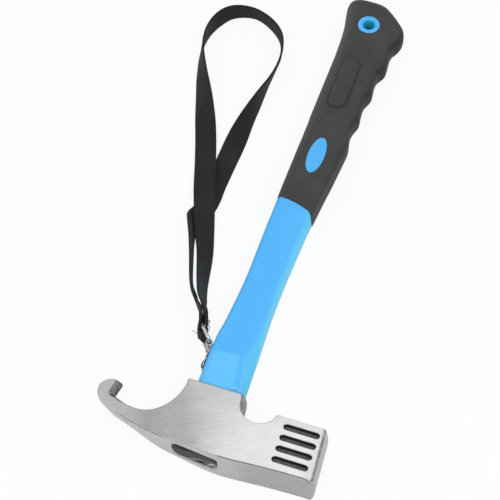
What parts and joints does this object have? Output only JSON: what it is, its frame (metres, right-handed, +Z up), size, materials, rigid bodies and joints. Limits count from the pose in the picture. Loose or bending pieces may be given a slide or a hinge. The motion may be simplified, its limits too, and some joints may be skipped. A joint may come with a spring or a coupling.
{
  "type": "camping hammer",
  "caption": "Small camping hammer: forged head with a striking block and a peg hook, moulded handle with a rubber grip, and a webbing wrist strap on a hinged ring.",
  "frame": {"origin": "under the middle of the hammer as it lies on its side, strap left out, on the surface that it lies on", "axes": "+X along the head from the hook to the striking face, +Y along the handle from the head to the butt, +Z up through the side of the head"},
  "size_m": [0.1482, 0.3044, 0.021],
  "materials": {
    "forged_steel": "satin ground steel",
    "bedding_resin": "cast, dark",
    "fibreglass": "pulled rod, unpainted",
    "blue_plastic": "moulded, semi-gloss",
    "grip_rubber": "moulded, fine grain",
    "plated_steel": "plated strip",
    "screw_steel": "dark plated",
    "ring_wire": "bright plated wire",
    "webbing": "ribbed polyester webbing",
    "thread": "sewing thread"
  },
  "bodies": {
    "hammer": {"head": "forged_steel", "eye_resin": "bedding_resin", "handle_core": "fibreglass", "handle_sleeve": "blue_plastic", "grip": "grip_rubber", "strap_plate": "plated_steel", "plate_screw": "screw_steel", "strap_webbing": "webbing", "strap_stitching": "thread"},
    "ring": {"strap_ring": "ring_wire"}
  },
  "joints": [
    {"name": "ring_hinge", "type": "hinge", "parent": "hammer", "child": "ring", "pos_m": [-0.01508, -0.0899, 0.0105], "axis": [0, 0, 1], "range_deg": [-28, 115], "deforming": ["strap_webbing", "strap_stitching"]}
  ]
}
